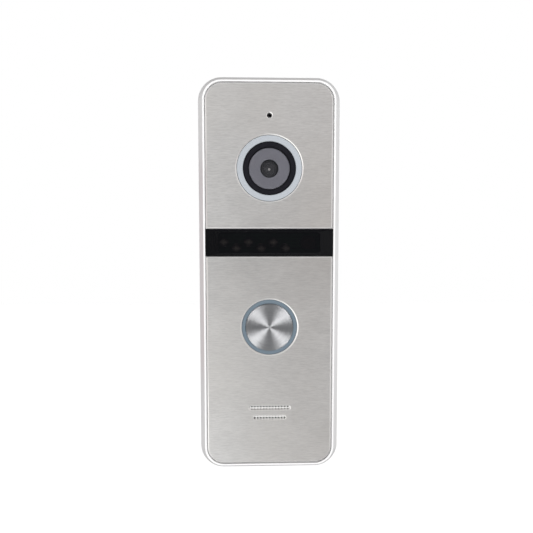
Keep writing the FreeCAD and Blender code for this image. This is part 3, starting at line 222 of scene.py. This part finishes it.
def world_patch(tree, axis, edge_from, edge_to):
    """1 where the direction's dot product with axis passes edge_to, fading to 0 at edge_from."""
    place = tree.nodes.new("ShaderNodeTexCoord")
    dot = tree.nodes.new("ShaderNodeVectorMath")
    dot.operation = "DOT_PRODUCT"
    dot.inputs[1].default_value = Vector(axis).normalized()
    tree.links.new(place.outputs["Generated"], dot.inputs[0])
    fade = tree.nodes.new("ShaderNodeMapRange")
    fade.interpolation_type = "SMOOTHSTEP"
    fade.inputs["From Min"].default_value = edge_from
    fade.inputs["From Max"].default_value = edge_to
    tree.links.new(dot.outputs["Value"], fade.inputs["Value"])
    return fade.outputs["Result"]


def make_world():
    """White for the eye; for light, a grey room with paler and darker patches."""
    world = bpy.data.worlds.new("studio")
    bpy.context.scene.world = world
    world.use_nodes = True
    tree = world.node_tree
    tree.nodes.clear()
    colour = WORLD_FRONT
    for axis, edge_from, edge_to, patch in WORLD_PATCHES:
        colour = blend_colours(tree, world_patch(tree, axis, edge_from, edge_to), colour, patch)
    eye = tree.nodes.new("ShaderNodeLightPath")
    lit = tree.nodes.new("ShaderNodeBackground")
    tree.links.new(colour, lit.inputs["Color"])
    seen = tree.nodes.new("ShaderNodeBackground")
    seen.inputs["Color"].default_value = (*WHITE, 1)
    both = tree.nodes.new("ShaderNodeMixShader")
    tree.links.new(eye.outputs["Is Camera Ray"], both.inputs["Fac"])
    tree.links.new(lit.outputs[0], both.inputs[1])
    tree.links.new(seen.outputs[0], both.inputs[2])
    out = tree.nodes.new("ShaderNodeOutputWorld")
    tree.links.new(both.outputs[0], out.inputs["Surface"])


def make_floor():
    """Pale floor well below the object, which hangs on its wall bracket."""
    bpy.ops.mesh.primitive_plane_add(size=FLOOR_SIZE, location=(0, 0, FLOOR_HEIGHT))
    floor = bpy.context.object
    floor.name = "floor"
    paint, _, shader = plain("floor_paint", FLOOR_COLOUR, roughness=0.9, Emission_Strength=FLOOR_GLOW)
    shader.inputs["Emission Color"].default_value = (*WHITE, 1)
    floor.data.materials.append(paint)
    floor.visible_diffuse = False
    floor.visible_glossy = False


# ---------------------------------------------------------------- material kit

GRAIN_HOLLOW, GRAIN_TOP = 0.35, 0.65


def plain(name, colour, roughness, metallic=0.0, **values):
    """Principled material; values are further sockets by name, with _ for a space."""
    material = bpy.data.materials.new(name)
    material.use_nodes = True
    tree = material.node_tree
    shader = tree.nodes["Principled BSDF"]
    shader.inputs["Base Color"].default_value = (*colour, 1)
    shader.inputs["Roughness"].default_value = roughness
    shader.inputs["Metallic"].default_value = metallic
    for key, number in values.items():
        shader.inputs[key.replace("_", " ")].default_value = number
    return material, tree, shader


def feed(tree, shader, socket, value):
    tree.links.new(value, shader.inputs[socket])


def coordinates(tree, scale=(1, 1, 1), origin=(0, 0, 0)):
    """Place in the object's frame, measured from origin and stretched by scale along each axis."""
    place = tree.nodes.new("ShaderNodeTexCoord")
    moved = tree.nodes.new("ShaderNodeVectorMath")
    moved.operation = "SUBTRACT"
    moved.inputs[1].default_value = origin
    tree.links.new(place.outputs["Object"], moved.inputs[0])
    stretched = tree.nodes.new("ShaderNodeVectorMath")
    stretched.operation = "MULTIPLY"
    stretched.inputs[1].default_value = scale
    tree.links.new(moved.outputs[0], stretched.inputs[0])
    return stretched.outputs[0]


def noise(tree, vector, detail, roughness):
    node = tree.nodes.new("ShaderNodeTexNoise")
    node.inputs["Scale"].default_value = 1.0
    node.inputs["Detail"].default_value = detail
    node.inputs["Roughness"].default_value = roughness
    tree.links.new(vector, node.inputs["Vector"])
    return node.outputs["Fac"]


def even_noise(tree, scale, detail, roughness):
    """Noise with the same scale, per metre, along every axis."""
    return noise(tree, coordinates(tree, (scale, scale, scale)), detail, roughness)


def spread(tree, value, low, high, start=0.25, end=0.75):
    """Value from start..end mapped to low..high."""
    node = tree.nodes.new("ShaderNodeMapRange")
    node.inputs["From Min"].default_value = start
    node.inputs["From Max"].default_value = end
    node.inputs["To Min"].default_value = low
    node.inputs["To Max"].default_value = high
    tree.links.new(value, node.inputs["Value"])
    return node.outputs["Result"]


def blend_colours(tree, factor, first, second):
    node = tree.nodes.new("ShaderNodeMix")
    node.data_type = "RGBA"
    for key, colour in (("A", first), ("B", second)):
        if isinstance(colour, tuple):
            node.inputs[key].default_value = (*colour, 1)
        else:
            tree.links.new(colour, node.inputs[key])
    tree.links.new(factor, node.inputs["Factor"])
    return node.outputs["Result"]


def grain_spread(tree, grain, low, high):
    """Value from low to high, as the grain goes from its hollows to its tops."""
    return spread(tree, grain, low, high, GRAIN_HOLLOW, GRAIN_TOP)


def grain_colours(tree, grain, dark, light):
    """Colour from dark to light, as the grain goes from its hollows to its tops."""
    return blend_colours(tree, grain_spread(tree, grain, 0, 1), dark, light)


def maths(tree, operation, *values):
    node = tree.nodes.new("ShaderNodeMath")
    node.operation = operation
    for index, value in enumerate(values):
        if isinstance(value, (int, float)):
            node.inputs[index].default_value = value
        else:
            tree.links.new(value, node.inputs[index])
    return node.outputs[0]


def bump(tree, shader, height, depth):
    """Relief whose full height is depth, in metres."""
    node = tree.nodes.new("ShaderNodeBump")
    node.inputs["Distance"].default_value = depth
    node.inputs["Strength"].default_value = 1.0
    tree.links.new(height, node.inputs["Height"])
    feed(tree, shader, "Normal", node.outputs["Normal"])


def tangent(tree, shader, axis):
    """Which way the brushing runs: round the given axis."""
    node = tree.nodes.new("ShaderNodeTangent")
    node.direction_type = "RADIAL"
    node.axis = axis
    feed(tree, shader, "Tangent", node.outputs[0])


def split_place(tree, origin=(0, 0, 0)):
    """X, Y and Z, in metres from origin, as three outputs."""
    split = tree.nodes.new("ShaderNodeSeparateXYZ")
    tree.links.new(coordinates(tree, origin=origin), split.inputs[0])
    return split.outputs


# ---------------------------------------------------------------- face plates

PLATE_LIGHT = (0.99, 0.985, 0.975)
PLATE_DARK = (0.825, 0.82, 0.81)
PLATE_WARM = (0.93, 0.89, 0.84)
PLATE_WARM_SHARE = 0.4
PLATE_CONTRAST = (0.38, 0.62)
PLATE_ROUGHNESS = (0.38, 0.48)
PLATE_RELIEF = 0.002 * MM
PLATE_LAYERS = (
    # waves per metre along each axis, noise detail and roughness, share of the grain
    ((900, 900, 7000), 2.0, 0.6, 0.42),   # hair-fine lines
    ((300, 300, 3200), 2.0, 0.5, 0.40),   # short dashes
    ((80, 80, 130), 2.0, 0.5, 0.18),      # clouds
)
DRIFT_SCALE = (26, 22, 20)
DRIFT_ORIGIN = (0.03, 0.0, 0.02)

# Painted shade: the lower plate's base colour darkens towards its upper end.
PAINTED_SHADE_COLOUR = (0.2, 0.2, 0.2)
PAINTED_SHADE_STRENGTH = 0.12
PAINTED_SHADE_FROM, PAINTED_SHADE_FULL, PAINTED_SHADE_END = -12 * MM, 6 * MM, 7.2 * MM

BEVEL_COLOUR = (0.97, 0.965, 0.955)
BEVEL_ROUGHNESS = 0.38
BEVEL_STEEPEST, BEVEL_FLATTEST = 0.3, 0.97


def plate_grain(tree):
    """Brushing along X, as a sum of layers."""
    grain = 0.0
    for scale, detail, roughness, share in PLATE_LAYERS:
        layer = noise(tree, coordinates(tree, scale), detail=detail, roughness=roughness)
        grain = maths(tree, "ADD", grain, maths(tree, "MULTIPLY", layer, share))
    return grain


def painted_top_shade(tree):
    """Painted shade: how much the lower plate darkens towards its upper end."""
    height = split_place(tree)["Z"]
    fade = spread(tree, height, 0, PAINTED_SHADE_STRENGTH, PAINTED_SHADE_FROM, PAINTED_SHADE_FULL)
    return maths(tree, "MULTIPLY", fade, maths(tree, "LESS_THAN", height, PAINTED_SHADE_END))


def bevel_mask(tree):
    """1 on faces that lean back from the front, which are the sheet's cut edges."""
    place = tree.nodes.new("ShaderNodeNewGeometry")
    facing = tree.nodes.new("ShaderNodeVectorMath")
    facing.operation = "DOT_PRODUCT"
    facing.inputs[1].default_value = (0, -1, 0)
    tree.links.new(place.outputs["True Normal"], facing.inputs[0])
    leans = maths(tree, "LESS_THAN", facing.outputs["Value"], BEVEL_FLATTEST)
    shows = maths(tree, "GREATER_THAN", facing.outputs["Value"], BEVEL_STEEPEST)
    return maths(tree, "MULTIPLY", leans, shows)


def brushed_plate():
    """Stainless sheet brushed along X, with a slow drift of tone, smooth bright bevels and painted shade
    towards the lower plate's upper end.
    """
    material, tree, shader = plain("brushed_plate", PLATE_LIGHT, roughness=0.42, metallic=1.0,
                                   Anisotropic=0.7)
    grain = plate_grain(tree)
    tone = blend_colours(tree, spread(tree, grain, 0, 1, *PLATE_CONTRAST), PLATE_DARK, PLATE_LIGHT)
    drift = noise(tree, coordinates(tree, DRIFT_SCALE, DRIFT_ORIGIN), detail=1.0, roughness=0.4)
    warmed = blend_colours(tree, grain_spread(tree, drift, 0, PLATE_WARM_SHARE), tone, PLATE_WARM)
    # painted shade: the lower plate darker towards its upper end
    shaded = blend_colours(tree, painted_top_shade(tree), warmed, PAINTED_SHADE_COLOUR)
    bevel = bevel_mask(tree)
    feed(tree, shader, "Base Color", blend_colours(tree, bevel, shaded, BEVEL_COLOUR))
    finish = tree.nodes.new("ShaderNodeMix")
    tree.links.new(bevel, finish.inputs["Factor"])
    tree.links.new(grain_spread(tree, grain, *PLATE_ROUGHNESS), finish.inputs["A"])
    finish.inputs["B"].default_value = BEVEL_ROUGHNESS
    feed(tree, shader, "Roughness", finish.outputs["Result"])
    bump(tree, shader, grain, PLATE_RELIEF)
    tangent(tree, shader, "X")
    return material


# ---------------------------------------------------------------- button cap and frame

CAP_DARK = (0.163, 0.171, 0.182)
CAP_LIGHT = (0.209, 0.217, 0.227)
CAP_ROUGHNESS = (0.47, 0.53)
CAP_MARKS = 6500
CAP_SWEEP = 0.8

FRAME_DARK = (0.86, 0.86, 0.865)
FRAME_MIDDLE = (0.88, 0.88, 0.885)
FRAME_LIGHT = (0.90, 0.90, 0.905)
FRAME_ROUGHNESS = (0.32, 0.40)
FRAME_RELIEF = 0.002 * MM


def turned_cap():
    """Steel cap with lathe marks that run round its middle."""
    material, tree, shader = plain("turned_cap", CAP_LIGHT, roughness=0.5, metallic=1.0,
                                   Anisotropic=1.0, Anisotropic_Rotation=0.25)
    place = split_place(tree, tuple(BUTTON))
    across, up = place["X"], place["Z"]
    square = maths(tree, "ADD", maths(tree, "MULTIPLY", across, across), maths(tree, "MULTIPLY", up, up))
    radius = maths(tree, "SQRT", square)
    turn = maths(tree, "ARCTAN2", up, across)
    rings = tree.nodes.new("ShaderNodeCombineXYZ")
    tree.links.new(maths(tree, "MULTIPLY", radius, CAP_MARKS), rings.inputs["X"])
    tree.links.new(maths(tree, "MULTIPLY", turn, CAP_SWEEP), rings.inputs["Y"])
    marks = noise(tree, rings.outputs[0], detail=4.0, roughness=0.6)
    feed(tree, shader, "Base Color", grain_colours(tree, marks, CAP_DARK, CAP_LIGHT))
    feed(tree, shader, "Roughness", grain_spread(tree, marks, *CAP_ROUGHNESS))
    tangent(tree, shader, "Y")
    return material


def satin_silver():
    """Fine silver lacquer on the casting."""
    material, tree, shader = plain("satin_silver", FRAME_MIDDLE, roughness=0.36, metallic=0.3)
    fleck = even_noise(tree, 9000, detail=2.0, roughness=0.5)
    cloud = even_noise(tree, 60, detail=3.0, roughness=0.5)
    feed(tree, shader, "Base Color", grain_colours(tree, fleck, FRAME_DARK, FRAME_LIGHT))
    feed(tree, shader, "Roughness", spread(tree, cloud, *FRAME_ROUGHNESS))
    bump(tree, shader, fleck, FRAME_RELIEF)
    return material


# ---------------------------------------------------------------- infrared strip

ACRYLIC_COLOUR = (0.004, 0.004, 0.005)
ACRYLIC_ROUGHNESS = (0.05, 0.12)

DIODE_FIRST = -15.55 * MM
DIODE_PITCH = 4.25 * MM
DIODE_ROWS = (11.9 * MM, 9.75 * MM)
DIODE_REACH = (2.3 * MM, 1.4 * MM)
DIODE_BODY = (0.10, 0.09, 0.09)
# Painted glint: a pale star painted round each diode's centre.
DIODE_GLINT_COLOUR = (0.95, 0.82, 0.74)
DIODE_BRIGHT, DIODE_FAINT = 0.15, 1.1


def infrared_acrylic():
    """Near-black acrylic that lets a little light through."""
    material, tree, shader = plain("infrared_acrylic", ACRYLIC_COLOUR, roughness=0.06, Alpha=0.68,
                                   Specular_IOR_Level=0.35)
    smudge = even_noise(tree, 120, detail=3.0, roughness=0.6)
    feed(tree, shader, "Roughness", spread(tree, smudge, *ACRYLIC_ROUGHNESS))
    return material


def diode_with_painted_glint():
    """Clear epoxy dome with a painted glint: a small bright star, wider than high, where the reflector cup
    and die catch the light.
    """
    material, tree, shader = plain("diode_with_painted_glint", DIODE_BODY, roughness=0.2)
    place = split_place(tree, (DIODE_FIRST - DIODE_PITCH / 2, 0, 0))
    within = maths(tree, "FLOORED_MODULO", place["X"], DIODE_PITCH)
    across = maths(tree, "ABSOLUTE", maths(tree, "SUBTRACT", within, DIODE_PITCH / 2))
    upper, lower = DIODE_ROWS
    is_upper = maths(tree, "GREATER_THAN", place["Z"], (upper + lower) / 2)
    row = maths(tree, "ADD", lower, maths(tree, "MULTIPLY", is_upper, upper - lower))
    up = maths(tree, "ABSOLUTE", maths(tree, "SUBTRACT", place["Z"], row))
    wide, high = DIODE_REACH
    reach = maths(tree, "ADD", maths(tree, "DIVIDE", across, wide), maths(tree, "DIVIDE", up, high))
    # painted glint: bright star round each diode's centre
    star = spread(tree, reach, 1.0, 0.0, DIODE_BRIGHT, DIODE_FAINT)
    feed(tree, shader, "Base Color", blend_colours(tree, star, DIODE_BODY, DIODE_GLINT_COLOUR))
    return material


# ---------------------------------------------------------------- other finishes

BOARD_MASK = (0.008, 0.085, 0.035)
BOARD_TRACK = (0.03, 0.20, 0.09)
BOARD_SCALE = 420
BOARD_RELIEF = 0.03 * MM
PLATING_RELIEF = 0.003 * MM
GLASS_INDEX = 1.45


def circuit_board():
    """Solder mask over copper tracks, which show as slightly raised lighter lines."""
    material, tree, shader = plain("circuit_board", BOARD_MASK, roughness=0.3, Coat_Weight=0.4,
                                   Coat_Roughness=0.15)
    tracks = tree.nodes.new("ShaderNodeTexBrick")
    tracks.inputs["Scale"].default_value = 1.0
    tracks.inputs["Mortar Size"].default_value = 0.06
    tracks.inputs["Brick Width"].default_value = 1.7
    tracks.inputs["Row Height"].default_value = 0.55
    upright = tree.nodes.new("ShaderNodeVectorRotate")
    upright.rotation_type = "X_AXIS"
    upright.inputs["Angle"].default_value = math.radians(90)
    tree.links.new(coordinates(tree, (BOARD_SCALE, BOARD_SCALE, BOARD_SCALE)), upright.inputs["Vector"])
    tree.links.new(upright.outputs[0], tracks.inputs["Vector"])
    feed(tree, shader, "Base Color", blend_colours(tree, tracks.outputs["Fac"], BOARD_MASK, BOARD_TRACK))
    bump(tree, shader, tracks.outputs["Fac"], BOARD_RELIEF)
    return material


def smooth_paint(name, colour, roughness, metallic):
    """Even paint, film or anodising with a very fine fleck."""
    material, tree, shader = plain(name, colour, roughness, metallic)
    fleck = even_noise(tree, 7000, detail=2.0, roughness=0.5)
    darker = tuple(0.93 * part for part in colour)
    feed(tree, shader, "Base Color", grain_colours(tree, fleck, darker, colour))
    feed(tree, shader, "Roughness", spread(tree, fleck, roughness - 0.04, roughness + 0.05))
    return material


def moulded(name, colour, roughness, grain, depth, specular=0.5):
    """Spark-eroded moulded plastic or rubber; depth of the grain is in millimetres."""
    material, tree, shader = plain(name, colour, roughness, Specular_IOR_Level=specular)
    texture = even_noise(tree, grain, detail=4.0, roughness=0.6)
    lighter = tuple(min(1.0, 1.25 * part + 0.004) for part in colour)
    feed(tree, shader, "Base Color", grain_colours(tree, texture, colour, lighter))
    feed(tree, shader, "Roughness", spread(tree, texture, roughness - 0.06, roughness + 0.1))
    bump(tree, shader, texture, depth * MM)
    return material


def plated_steel(name, colour, roughness):
    """Zinc or nickel plating with faint cloudy spangle and fine scratches."""
    material, tree, shader = plain(name, colour, roughness, metallic=1.0)
    cloud = even_noise(tree, 350, detail=4.0, roughness=0.6)
    scratch = noise(tree, coordinates(tree, (300, 300, 5000)), detail=3.0, roughness=0.5)
    darker = tuple(0.78 * part for part in colour)
    feed(tree, shader, "Base Color", grain_colours(tree, cloud, darker, colour))
    feed(tree, shader, "Roughness", spread(tree, cloud, roughness - 0.05, roughness + 0.12))
    bump(tree, shader, scratch, PLATING_RELIEF)
    return material


def clear_glass(name, tint, haze):
    """Thin glass: haze is what shows of it seen straight on, more at a slant."""
    material, tree, shader = plain(name, tint, roughness=0.03)
    slant = tree.nodes.new("ShaderNodeFresnel")
    slant.inputs["IOR"].default_value = GLASS_INDEX
    feed(tree, shader, "Alpha", spread(tree, slant.outputs[0], haze, 1.0, 0.0, 1.0))
    return material


# ---------------------------------------------------------------- finish of each slot

SPECIAL_FINISHES = {
    "satin_silver": satin_silver,
    "brushed_plate": brushed_plate,
    "brushed_cap": turned_cap,
    "infrared_black": infrared_acrylic,
    "board_green": circuit_board,
    "led_clear": diode_with_painted_glint,
}
SMOOTH_PAINTS = {
    # colour, roughness, metallic
    "trim_blue_grey": ((0.415, 0.447, 0.485), 0.4, 0.2),
    "ring_blue_grey": ((0.126, 0.168, 0.205), 0.3, 0.0),
    "lens_grey": ((0.178, 0.178, 0.208), 0.5, 0.2),
    "sensor_dark": ((0.06, 0.05, 0.09), 0.15, 0.0),
    "light_sensor": ((0.10, 0.06, 0.05), 0.3, 0.0),
    "mesh_steel": ((0.80, 0.80, 0.79), 0.45, 0.5),
    "cone_film": ((0.10, 0.095, 0.08), 0.35, 0.0),
    "ribbon_film": ((0.70, 0.70, 0.66), 0.35, 0.0),
    "wire_sheath": ((0.45, 0.02, 0.02), 0.35, 0.0),
}
MOULDINGS = {
    # colour, roughness, grain per metre, depth of the grain in millimetres, specular level if not 0.5
    "black_rubber": ((0.005, 0.005, 0.008), 0.5, 2500, 0.002, 0.12),
    "black_plastic": ((0.022, 0.022, 0.024), 0.5, 1800, 0.01),
    "chip_black": ((0.02, 0.02, 0.02), 0.55, 5000, 0.004),
    "white_plastic": ((0.75, 0.74, 0.70), 0.45, 3000, 0.004),
    "grey_plastic": ((0.40, 0.40, 0.41), 0.45, 3000, 0.004),
    "relay_case": ((0.03, 0.08, 0.25), 0.3, 3000, 0.003),
    "adhesive": ((0.12, 0.12, 0.12), 0.7, 4000, 0.01),
    "foam": ((0.02, 0.02, 0.02), 0.9, 3500, 0.05),
}
PLATINGS = {
    # colour, roughness
    "bright_steel": ((0.68, 0.67, 0.65), 0.25),
    "zinc_steel": ((0.58, 0.60, 0.62), 0.34),
    "capsule_metal": ((0.70, 0.70, 0.71), 0.3),
}
GLASSES = {
    # tint, haze
    "glass": ((0.12, 0.125, 0.14), 0.0),
    "filter_glass": ((0.25, 0.45, 0.5), 0.4),
}
FAMILIES = (
    (smooth_paint, SMOOTH_PAINTS),
    (moulded, MOULDINGS),
    (plated_steel, PLATINGS),
    (clear_glass, GLASSES),
)


def finish_of(slot):
    """The finished material of one of the record's slots."""
    for maker, values in FAMILIES:
        if slot in values:
            return maker(slot, *values[slot])
    return SPECIAL_FINISHES[slot]()


def dress_nodes():
    """Give every node of the frame its finished material."""
    made = {}
    for part in frame["record"]["subparts"]:
        slot = part["material_slot"]
        if slot not in made:
            made[slot] = finish_of(slot)
        node = NODES[part["node"]]
        for piece in [node, *node.children_recursive]:
            if piece.type == "MESH":
                piece.data.materials.clear()
                piece.data.materials.append(made[slot])


# ---------------------------------------------------------------- inside of the lens

LENS_SEGMENTS = 96
WELD = 1e-7

BAFFLE_GAP = 0.05 * MM
BAFFLE_THICKNESS = 0.35 * MM
BAFFLE_OUTER = 3.15 * MM
BAFFLE_RIDGES = 4
RIDGE_DEPTH = 0.12 * MM
RIDGE_LEAN = 0.35

PUPIL_RADIUS = 0.45 * MM
PUPIL_RIM = 0.1 * MM
PUPIL_BULGE = 0.3 * PUPIL_RADIUS
PUPIL_STEPS = 6

BAFFLE_COLOUR = (0.034, 0.034, 0.037)
# Painted glint: the pupil's pale grey stands in for the bright spot in the middle of the lens.
PUPIL_GLINT_COLOUR = (0.32, 0.31, 0.31)

FRONT_ELEMENT = centre_of("lens_front_element")
BAFFLE_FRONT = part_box("lens_front_element")[1][1] + BAFFLE_GAP
BAFFLE_BACK = BAFFLE_FRONT + BAFFLE_THICKNESS


def turned_mesh(name, centre, profile):
    """Closed skin of revolution about an axis along Y through centre; profile holds (radius, y) pairs."""
    build = bmesh.new()
    rings = []
    for segment in range(LENS_SEGMENTS):
        turn = 2 * math.pi * segment / LENS_SEGMENTS
        across, up = math.cos(turn), math.sin(turn)
        rings.append([build.verts.new((centre.x + radius * across, y, centre.z + radius * up))
                      for radius, y in profile])
    for ring, following in zip(rings, rings[1:] + rings[:1]):
        for index in range(len(profile) - 1):
            build.faces.new((ring[index], ring[index + 1], following[index + 1], following[index]))
    bmesh.ops.remove_doubles(build, verts=build.verts, dist=WELD)
    bmesh.ops.recalc_face_normals(build, faces=build.faces)
    mesh = bpy.data.meshes.new(name)
    build.to_mesh(mesh)
    build.free()
    piece = bpy.data.objects.new(name, mesh)
    bpy.context.scene.collection.objects.link(piece)
    return piece


def make_baffle():
    """Ridged black washer behind the front element."""
    step = (BAFFLE_OUTER - PUPIL_RADIUS) / BAFFLE_RIDGES
    profile = [(PUPIL_RADIUS, BAFFLE_BACK)]
    for index in range(BAFFLE_RIDGES):
        radius = PUPIL_RADIUS + index * step
        profile.append((radius, BAFFLE_FRONT + RIDGE_DEPTH))
        profile.append((radius + RIDGE_LEAN * step, BAFFLE_FRONT))
    profile += [(BAFFLE_OUTER, BAFFLE_FRONT), (BAFFLE_OUTER, BAFFLE_BACK), (PUPIL_RADIUS, BAFFLE_BACK)]
    baffle = turned_mesh("lens_baffle", FRONT_ELEMENT, profile)
    paint = moulded("baffle_black", BAFFLE_COLOUR, roughness=0.6, grain=4000, depth=0.002, specular=0.3)
    baffle.data.materials.append(paint)
    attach(baffle, "panel")


def make_pupil():
    """Small glass dome that fills the hole of the washer, pale grey as a painted glint in the middle of the
    lens.
    """
    dome = []
    for step in range(PUPIL_STEPS + 1):
        turn = math.radians(90) * (1 - step / PUPIL_STEPS)
        dome.append((PUPIL_RADIUS * math.sin(turn), BAFFLE_BACK - PUPIL_RIM - PUPIL_BULGE * math.cos(turn)))
    profile = dome + [(0.0, BAFFLE_BACK), (PUPIL_RADIUS, BAFFLE_BACK), dome[0]]
    pupil = turned_mesh("lens_pupil", FRONT_ELEMENT, profile)
    # painted glint: pale grey paint on the pupil dome
    glint_paint = smooth_paint("pupil_painted_glint", PUPIL_GLINT_COLOUR, roughness=0.15, metallic=0.0)
    pupil.data.materials.append(glint_paint)
    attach(pupil, "panel")


# ---------------------------------------------------------------- scene

make_camera()
make_fill()
make_streak_lamps()
make_card()
make_world()
make_floor()
dress_nodes()
make_baffle()
make_pupil()

bpy.context.scene.view_settings.view_transform = "Standard"
